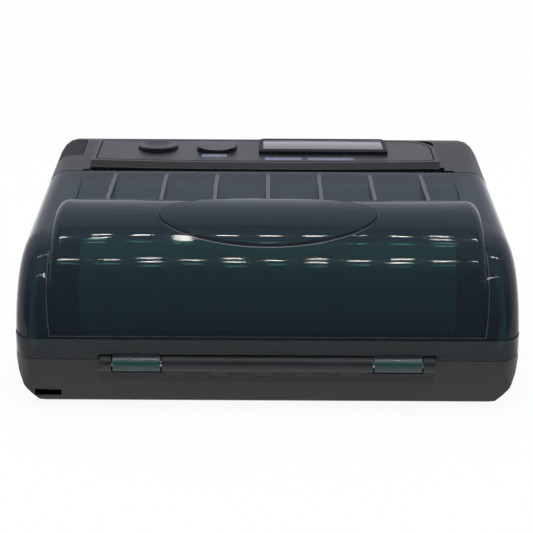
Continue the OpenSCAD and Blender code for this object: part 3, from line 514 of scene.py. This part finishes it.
def bow(bm, fade_to=None):
    """Divides long edges and moves the front back towards the sides, less so nearer to fade_to."""
    bmesh.ops.subdivide_edges(bm, edges=[e for e in bm.edges if e.calc_length() > 15 * MM], cuts=24)
    front = min(v.co.y for v in bm.verts)
    for vert in bm.verts:
        share = 1.0 if fade_to is None else (fade_to - vert.co.y) / (fade_to - front)
        vert.co.y += share * vert.co.x ** 2 / (2 * BOW_R * MM)


# painted shade: a near-black band where the panel steps to its border
panel_painted_shade, shader = finish_of("painted_step_shade", "#0c0d10", 0.8, Specular_IOR_Level=0.1)
mottle(panel_painted_shade, shader, "#0a0b0d", "#0f1013", 3, 0.75, 0.85)
bm = bmesh.new()
low = at(PANEL_X[0] + PANEL_BORDER, PANEL_FRONT[0] + PANEL_BORDER, PANEL_FRONT[1] + SHADE_LINE_PROUD)
high = at(PANEL_X[1] - PANEL_BORDER, PANEL_REAR - PANEL_BORDER, PANEL_FRONT[1] + SHADE_LINE_PROUD)
verts = bmesh.ops.create_grid(bm, x_segments=1, y_segments=1, size=0.5)["verts"]
bmesh.ops.scale(bm, vec=(high.x - low.x, high.y - low.y, 1), verts=verts)
bmesh.ops.translate(bm, vec=(low + high) / 2, verts=verts)
rear_right = [v for v in verts if v.co.x > 0 and v.co.y > low.y + 1 * MM]
others = [v for v in verts if v not in rear_right]
for corner, radius in ((rear_right, REAR_CORNER), (others, FRONT_CORNER)):
    bmesh.ops.bevel(bm, geom=corner, offset=radius * MM, offset_type="OFFSET", segments=6, profile=0.5,
                    affect="VERTICES", material=-1)
inside = list(bm.faces)
bmesh.ops.inset_region(bm, faces=inside, thickness=SHADE_LINE_W * MM, depth=0, use_even_offset=True,
                       use_boundary=True)
bmesh.ops.delete(bm, geom=inside, context="FACES")
bow(bm, fade_to=high.y)
bmesh.ops.rotate(bm, cent=at(0, *PANEL_FRONT), matrix=lean, verts=bm.verts)
piece("panel_step_painted_shade", bm, panel_painted_shade, "case")

# painted highlight: the bead along the lip is coloured lighter than the satin panel
lip_painted_highlight, shader = finish_of("painted_lip_highlight", "#3c3e43", 0.35)
mottle(lip_painted_highlight, shader, "#383a3f", "#414348", 3, 0.3, 0.4)
bm = bmesh.new()
bead = bmesh.ops.create_cone(bm, cap_ends=True, segments=12, radius1=BEAD_R * MM, radius2=BEAD_R * MM,
                             depth=(PANEL_X[1] - PANEL_X[0] - 2 * PANEL_BORDER) * MM)["verts"]
bmesh.ops.rotate(bm, cent=(0, 0, 0), matrix=Matrix.Rotation(math.pi / 2, 3, "Y"), verts=bead)
lip = at(sum(PANEL_X) / 2, PANEL_FRONT[0] - BEAD_AHEAD, PANEL_FRONT[1] - BEAD_BELOW)
bmesh.ops.translate(bm, vec=lip, verts=bead)
bow(bm)
piece("lip_bead", bm, lip_painted_highlight, "case")

# %% [markdown]
# ## Rim of the thumb pad
# The oval pad on the dome ends in a fine double line: a dark ribbon of painted shade where it steps down,
# and outside it a light ribbon of painted highlight along its polished edge. A circle is scaled to the oval
# and laid on the dome, once for each line of the rim, and the lines are bridged to ribbons. The painted
# highlight is brightest towards the front, where the edge faces the lamps, so its colour fades towards the
# rear over 8 mm.

# %% Pad rim
DOME_AXIS = (25.1, 12.7)
DOME_R = 24.6
PAD_HALF = (23.5, 9.8)
PAD_LEAN = math.radians(14.5)


def pad_line(bm, grow_mm, lift_mm):
    """The pad's oval outline, grown and lifted off the dome, as a closed loop of edges."""
    ring = bmesh.ops.create_circle(bm, cap_ends=False, radius=1.0, segments=128)
    for vert in ring["verts"]:
        x = vert.co.x * (PAD_HALF[0] + grow_mm)
        along = vert.co.y * (PAD_HALF[1] + grow_mm)
        out = math.sqrt((DOME_R + lift_mm) ** 2 - along ** 2)
        y = DOME_AXIS[0] + along * math.cos(PAD_LEAN) - out * math.sin(PAD_LEAN)
        z = DOME_AXIS[1] + along * math.sin(PAD_LEAN) + out * math.cos(PAD_LEAN)
        vert.co = at(x, y, z)
    return list({e for v in ring["verts"] for e in v.link_edges})


def pad_ribbon(name, lines, finish):
    bm = bmesh.new()
    loops = [pad_line(bm, *line) for line in lines]
    for inner, outer in zip(loops, loops[1:]):
        bmesh.ops.bridge_loops(bm, edges=inner + outer)
    bmesh.ops.recalc_face_normals(bm, faces=bm.faces)
    piece(name, bm, finish, "cover")


# painted highlight: the colour of the fine lines along the dome's side fillets
fillet_painted_highlight, shader = finish_of("painted_fillet_highlight", "#3c4348", 0.3)
mottle(fillet_painted_highlight, shader, "#373e43", "#434a4f", 2, 0.22, 0.36)
# painted highlight: a light ribbon on the pad's edge, brightest at the front and fading to the rear
pad_rim_painted_highlight, shader = finish_of("painted_rim_highlight", "#5b6266", 0.3)
reach = add(pad_rim_painted_highlight, "ShaderNodeSeparateXYZ", None, None, Vector=(place(pad_rim_painted_highlight), "Object"))
front = add(pad_rim_painted_highlight, "ShaderNodeMapRange", None, {"From Min": at(0, 9, 0).y, "From Max": at(0, 17, 0).y},
            Value=(reach, "Y"))
fade = add(pad_rim_painted_highlight, "ShaderNodeValToRGB", None, None, Fac=(front, "Result"))
fade.color_ramp.elements[0].color = linear("#666d71")
fade.color_ramp.elements[1].color = linear("#272f36")
link(pad_rim_painted_highlight, fade, "Color", shader, "Base Color")
# painted shade: a matt black ribbon where the pad steps down
pad_ribbon("pad_step_painted_shade", [(-0.36, 0.47), (-0.1, 0.3), (0.02, 0.02)], matt_black)
pad_ribbon("pad_edge_painted_highlight", [(0.0, 0.03), (0.12, 0.06), (0.24, 0.02)], pad_rim_painted_highlight)

# %% [markdown]
# ## Where the dome meets the wings
# A small fillet runs down each side of the dome, where it rises from the lower wings, and turns in along the
# skirt. Its highlight is painted on as one fine light line: a narrow ribbon coloured lighter than the cover.
# A row of points follows the wing's own curve, and each is drawn out to a narrow ribbon by extruding the row
# sideways.

# %% Side fillets
WING_AXIS = (21.45, 12.07)
WING_OUT = 21.03
FILLET_X = (46.2, 45.3)
FILLET_ANGLES = (118, 171)
FILLET_STEPS = 40
FILLET_IN, FILLET_OUT = 0.22, 0.15
LEDGE_LINE_Z = 15.3
LEDGE_LINE_W, LEDGE_LINE_LEAN = 0.17, 0.02

bm = bmesh.new()
for side in (-1, 1):
    previous = None
    for step in range(FILLET_STEPS + 1):
        a = math.radians(FILLET_ANGLES[0] + (FILLET_ANGLES[1] - FILLET_ANGLES[0]) * step / FILLET_STEPS)
        x = side * (FILLET_X[0] + (FILLET_X[1] - FILLET_X[0]) * (step / FILLET_STEPS) ** 3)
        y, z = WING_AXIS[0] + WING_OUT * math.cos(a), WING_AXIS[1] + WING_OUT * math.sin(a)
        vert = bm.verts.new(at(x, y, z))
        if previous:
            bm.edges.new((previous, vert))
        previous = vert
strip = bmesh.ops.extrude_edge_only(bm, edges=list(bm.edges))["geom"]
for vert in [g for g in strip if isinstance(g, bmesh.types.BMVert)]:
    y, z = vert.co.y / MM - ORIGIN_Y, vert.co.z / MM - FOOT_H
    a = math.atan2(z - WING_AXIS[1], y - WING_AXIS[0])
    inward = -math.copysign(FILLET_IN, vert.co.x)
    vert.co += Vector((inward, FILLET_OUT * math.cos(a), FILLET_OUT * math.sin(a))) * MM
out = math.sqrt((DOME_R + 0.03) ** 2 - (LEDGE_LINE_Z - DOME_AXIS[1]) ** 2)
ends = [bm.verts.new(at(x, DOME_AXIS[0] - out, LEDGE_LINE_Z)) for x in (-FILLET_X[1], FILLET_X[1])]
line = bm.edges.new(ends)
strip = bmesh.ops.extrude_edge_only(bm, edges=[line])["geom"]
raised = [g for g in strip if isinstance(g, bmesh.types.BMVert)]
bmesh.ops.translate(bm, vec=Vector((0, LEDGE_LINE_LEAN, LEDGE_LINE_W)) * MM, verts=raised)
bmesh.ops.recalc_face_normals(bm, faces=bm.faces)
# painted highlight: light ribbons along the fillets and the ledge
piece("side_fillet_highlights", bm, fillet_painted_highlight, "cover")

# %% [markdown]
# ## Tops of the blades
# The blades behind the dome are as clear as the cover, and clear plastic shows light at its narrow edges:
# their tops look pale along their whole length. A thin pale strip on each top paints that light on as a
# painted highlight.

# %% Blade tops
BLADES = 7
BLADE_PITCH = 12.0
BLADE_TOP_W = 0.85
BLADE_TOP_PROUD = 0.03
BLADE_TOP = ((34.0, 35.714), (54.0, 36.247))

# painted highlight: the pale colour of the strips on the blade tops
blade_painted_highlight, shader = finish_of("painted_blade_top_highlight", "#4a4e53", 0.45)
mottle(blade_painted_highlight, shader, "#45494e", "#505459", 3, 0.4, 0.52)
bm = bmesh.new()
(y0, z0), (y1, z1) = BLADE_TOP
blade_lean = Matrix.Rotation(math.atan2(z1 - z0, y1 - y0), 3, "X")
for i in range(BLADES):
    x = (i - (BLADES - 1) / 2) * BLADE_PITCH
    middle = at(x, (y0 + y1) / 2, (z0 + z1) / 2)
    half = Vector((BLADE_TOP_W / 2, (y1 - y0) / 2, BLADE_TOP_PROUD)) * MM
    verts = slab(bm, middle - half, middle + half)
    bmesh.ops.rotate(bm, cent=middle, matrix=blade_lean, verts=verts)
piece("blade_top_highlights", bm, blade_painted_highlight, "cover")

# %% [markdown]
# ## Knuckles
# The cover's two hinge knuckles are clear teal too, with the steel pin inside: from the front the pin is a
# dark line in the middle of a bright teal band. A sleeve lies on each knuckle, and its colour is painted
# light that follows the height through a ramp: the light through the plastic as a bright teal band, the pin
# as a dark line in it, a painted highlight near the top and painted shade at the bottom.

# %% Knuckle sleeves
HINGE = (0.3, 9.6)
KNUCKLE_R = 1.749
KNUCKLE_X = (22.2, 32.1)

knuckle_painted_light, shader = finish_of("painted_knuckle_light", "#2f5c5c", 0.12, IOR=1.58)
height = add(knuckle_painted_light, "ShaderNodeSeparateXYZ", None, None, Vector=(place(knuckle_painted_light), "Object"))
share = add(knuckle_painted_light, "ShaderNodeMapRange", None, {"From Min": (HINGE[1] + FOOT_H - KNUCKLE_R) * MM,
            "From Max": (HINGE[1] + FOOT_H + KNUCKLE_R) * MM}, Value=(height, "Z"))
knuckle_light_ramp = add(knuckle_painted_light, "ShaderNodeValToRGB", None, None, Fac=(share, "Result"))
# painted light: the teal band through the plastic, the pin's dark line, a painted highlight near the top and
# painted shade at the bottom
KNUCKLE_LIGHT_BANDS = [(0.0, "#161c20"), (0.2, "#1d3436"), (0.42, "#1f4a49"), (0.5, "#0c1e20"), (0.57, "#1f4a49"),
         (0.72, "#255150"), (0.84, "#565e60"), (1.0, "#484f52")]
while len(knuckle_light_ramp.color_ramp.elements) < len(KNUCKLE_LIGHT_BANDS):
    knuckle_light_ramp.color_ramp.elements.new(0.5)
for element, (stop, colour) in zip(knuckle_light_ramp.color_ramp.elements, KNUCKLE_LIGHT_BANDS):
    element.position = stop
    element.color = linear(colour)
link(knuckle_painted_light, knuckle_light_ramp, "Color", shader, "Base Color")
bm = bmesh.new()
for side in (-1, 1):
    tube = bmesh.ops.create_cone(bm, cap_ends=False, segments=96, radius1=KNUCKLE_R * MM,
                                 radius2=KNUCKLE_R * MM, depth=(KNUCKLE_X[1] - KNUCKLE_X[0]) * MM)["verts"]
    bmesh.ops.rotate(bm, cent=(0, 0, 0), matrix=Matrix.Rotation(math.pi / 2, 3, "Y"), verts=tube)
    bmesh.ops.translate(bm, vec=at(side * sum(KNUCKLE_X) / 2, *HINGE), verts=tube)
piece("knuckle_sleeves", bm, knuckle_painted_light, "cover")

# %% [markdown]
# ## The print head's face
# With the cover open, the head shows its thin ceramic plate. A dark line of heaters runs along the raised
# glaze that the platen presses on, and lower down the driver chips lie under a bar of black epoxy.

# %% Heater line and driver bar
HEATER = (-40.0, 40.0, 57.38, 27.22, 27.58)
DRIVERS = (-38.0, 38.0, 57.06, 21.1, 23.3)
HEAD_TRIM_T = 0.1

heater_glaze, shader = finish_of("dark_heater_glaze", "#3a2a20", 0.2, Coat_Weight=0.4, Coat_Roughness=0.04)
mottle(heater_glaze, shader, "#33241b", "#433126", 1, 0.16, 0.28)
black_epoxy, shader = finish_of("black_epoxy", "#141415", 0.45)
mottle(black_epoxy, shader, "#111112", "#19191a", 2, 0.38, 0.55)
for name, finish, place_mm in (("heater_line", heater_glaze, HEATER), ("driver_bar", black_epoxy, DRIVERS)):
    x0, x1, y, z0, z1 = place_mm
    bm = bmesh.new()
    slab(bm, at(x0, y, z0), at(x1, y + HEAD_TRIM_T, z1))
    soften(bm, list(bm.edges), 0.03, 2)
    piece(name, bm, finish, "case")

# %% [markdown]
# ## Floor, light and camera
# The floor is a plain pale sheet. To the camera it is mostly white paper, so the background of the
# picture is white, and it still takes the printer's shadow. Glossy plastic mirrors the sheet as a steady
# glow, a little below white, which also keeps reflections free of speckle. In front of the printer the
# sheet ends on a dark table, which keeps the foot of the dome dark.

# %% Floor
FLOOR_HALF = 3.0
SHEET_FRONT = -0.18
FLOOR_GLOW = 0.93
MIRRORED_LEVEL = 0.88
bm = bmesh.new()
bmesh.ops.create_grid(bm, x_segments=1, y_segments=1, size=FLOOR_HALF)
mesh = bpy.data.meshes.new("floor")
bm.to_mesh(mesh)
bm.free()
floor = bpy.data.objects.new("floor", mesh)
bpy.context.scene.collection.objects.link(floor)

white_sheet, shader = finish_of("white_sheet", "#e8e8e8", 0.9, Specular_IOR_Level=0.1)
seen = add(white_sheet, "ShaderNodeLightPath")
bright = add(white_sheet, "ShaderNodeMath", {"operation": "MULTIPLY_ADD"}, None, i0=(seen, "Is Camera Ray"))
bright.inputs[1].default_value = 1 - MIRRORED_LEVEL
bright.inputs[2].default_value = MIRRORED_LEVEL
glow = add(white_sheet, "ShaderNodeEmission", None, {"Color": (1, 1, 1, 1)}, Strength=(bright, "Value"))
either = add(white_sheet, "ShaderNodeMath", {"operation": "MAXIMUM"}, None, i0=(seen, "Is Camera Ray"),
             i1=(seen, "Is Glossy Ray"))
half = add(white_sheet, "ShaderNodeMath", {"operation": "MULTIPLY"}, None, i0=(either, "Value"))
half.inputs[1].default_value = FLOOR_GLOW
paper = add(white_sheet, "ShaderNodeMixShader", None, None, i0=(half, "Value"), i1=(shader, "BSDF"),
            i2=(glow, "Emission"))
where = add(white_sheet, "ShaderNodeSeparateXYZ", None, None, Vector=(place(white_sheet), "Object"))
beyond = add(white_sheet, "ShaderNodeMath", {"operation": "LESS_THAN"}, None, i0=(where, "Y"))
beyond.inputs[1].default_value = SHEET_FRONT
dark = add(white_sheet, "ShaderNodeMath", {"operation": "MULTIPLY"}, None, i0=(seen, "Is Glossy Ray"),
           i1=(beyond, "Value"))
table = add(white_sheet, "ShaderNodeBsdfDiffuse", None, {"Color": linear("#303030")})
mix = add(white_sheet, "ShaderNodeMixShader", None, None, i0=(dark, "Value"), i1=(paper, "Shader"),
          i2=(table, "BSDF"))
link(white_sheet, mix, "Shader", white_sheet.node_tree.nodes["Material Output"], "Surface")
mesh.materials.append(white_sheet)
print("floor", 2 * FLOOR_HALF, "m wide, white to", SHEET_FRONT, "m")

# %% [markdown]
# ## The room
# What the plastic mirrors is the room. The room is a set of soft bands, bright beyond the printer's rear,
# with one darker band where the ceiling begins, and dim behind the camera. A ramp over the angle of the
# direction about the X axis gives those bands, so that each part of the curved cover mirrors its own. The
# camera sees plain white.

# %% World
world = bpy.data.worlds.new("studio")
bpy.context.scene.world = world
world.use_nodes = True
sky = world.node_tree.nodes["Background"]
sky.inputs["Color"].default_value = (1, 1, 1, 1)
direction = add(world, "ShaderNodeTexCoord")
parts = add(world, "ShaderNodeSeparateXYZ", None, None, Vector=(direction, "Generated"))
angle = add(world, "ShaderNodeMath", {"operation": "ARCTAN2"}, None, i0=(parts, "Z"), i1=(parts, "Y"))
share = add(world, "ShaderNodeMapRange", None, {"From Max": math.pi}, Value=(angle, "Value"))
room = add(world, "ShaderNodeValToRGB", None, None, Fac=(share, "Result"))
ROOM = [(0.0, 0.75), (0.30, 0.66), (0.36, 0.52), (0.378, 0.16), (0.40, 0.3), (0.6, 0.26), (0.68, 0.06),
        (1.0, 0.06)]
ROOM_TINT = (0.97, 0.98, 1.06)
while len(room.color_ramp.elements) < len(ROOM):
    room.color_ramp.elements.new(0.5)
for element, (stop, level) in zip(room.color_ramp.elements, ROOM):
    element.position = stop
    element.color = tuple(level * share_of for share_of in ROOM_TINT) + (1,)
path = add(world, "ShaderNodeLightPath")
picture = add(world, "ShaderNodeMix", {"data_type": "RGBA"}, None, i0=(path, "Is Camera Ray"),
              i6=(room, "Color"))
picture.inputs[7].default_value = (1, 1, 1, 1)
world.node_tree.links.new(picture.outputs[2], sky.inputs["Color"])
print("room bands:", len(ROOM))

# %% [markdown]
# ## Lamps
# In the photograph two rows of short bright lines lie across the dome. They are ceiling lamps with many
# small tubes, mirrored in the polished plastic. Two rows of small area lamps make the same reflections,
# and some of the lines are double. One large soft lamp, left out of reflections, lights the printer.

# %% Lamps
def soft_lamp(name, place_m, aim_m, size, power, colour="#ffffff"):
    lamp = bpy.data.lights.new(name, "AREA")
    lamp.shape = "RECTANGLE"
    lamp.size, lamp.size_y = size
    lamp.energy = power
    lamp.color = linear(colour)[:3]
    holder = bpy.data.objects.new(name, lamp)
    holder.location = place_m
    holder.rotation_euler = (Vector(aim_m) - Vector(place_m)).to_track_quat("-Z", "Y").to_euler()
    bpy.context.scene.collection.objects.link(holder)
    return holder


TUBE_HEIGHT = 0.84
TUBE_PITCH = 0.033
TUBES_A_SIDE = 12
TUBE_SIZE = (0.014, 0.018)
TUBE_WATTS = 0.034
PAIR_GAP = 0.03
ROWS = [(0.09, 0.0026, (-4, -2, 4)), (-0.325, 0.0075, (-3, -1, 1, 3))]
for row, (row_y, row_x, pairs) in enumerate(ROWS):
    for i in range(-TUBES_A_SIDE, TUBES_A_SIDE + 1):
        x = row_x + i * TUBE_PITCH
        for lane in (-1, 1) if i in pairs else (0,):
            y = row_y + lane * PAIR_GAP
            soft_lamp(f"tube_{row}_{i}_{lane}", (x, y, TUBE_HEIGHT), (x, y, 0), TUBE_SIZE, TUBE_WATTS,
                      "#fffaf0")
ceiling = soft_lamp("ceiling", (0, -0.1, 1.3), (0, -0.02, 0), (1.4, 1.0), 15)
ceiling.visible_glossy = False
print("lamps:", len(bpy.data.lights))

# %% [markdown]
# ## Camera
# The camera stands low in front with a long lens, as in the photograph, and looks down by about 18
# degrees. Its place, lens and tilt were fitted to the printer's outline, seam and hinge in the picture.

# %% Camera
LENS_MM = 101.45
CAMERA_AT = at(-0.28, -290.65, 125.38)
PITCH = math.radians(17.99)
ROLL = math.radians(0.3)
camera = bpy.data.cameras.new("camera")
camera.lens = LENS_MM
camera.sensor_width = 36.0
camera.clip_start = 0.01
viewer = bpy.data.objects.new("camera", camera)
turn = Matrix.Rotation(math.pi / 2 - PITCH, 4, "X") @ Matrix.Rotation(ROLL, 4, "Z")
viewer.matrix_world = Matrix.Translation(CAMERA_AT) @ turn
bpy.context.scene.collection.objects.link(viewer)
bpy.context.scene.camera = viewer
bpy.context.scene.view_settings.view_transform = "Standard"
print("camera at", tuple(round(c, 3) for c in CAMERA_AT), "m, lens", LENS_MM, "mm")
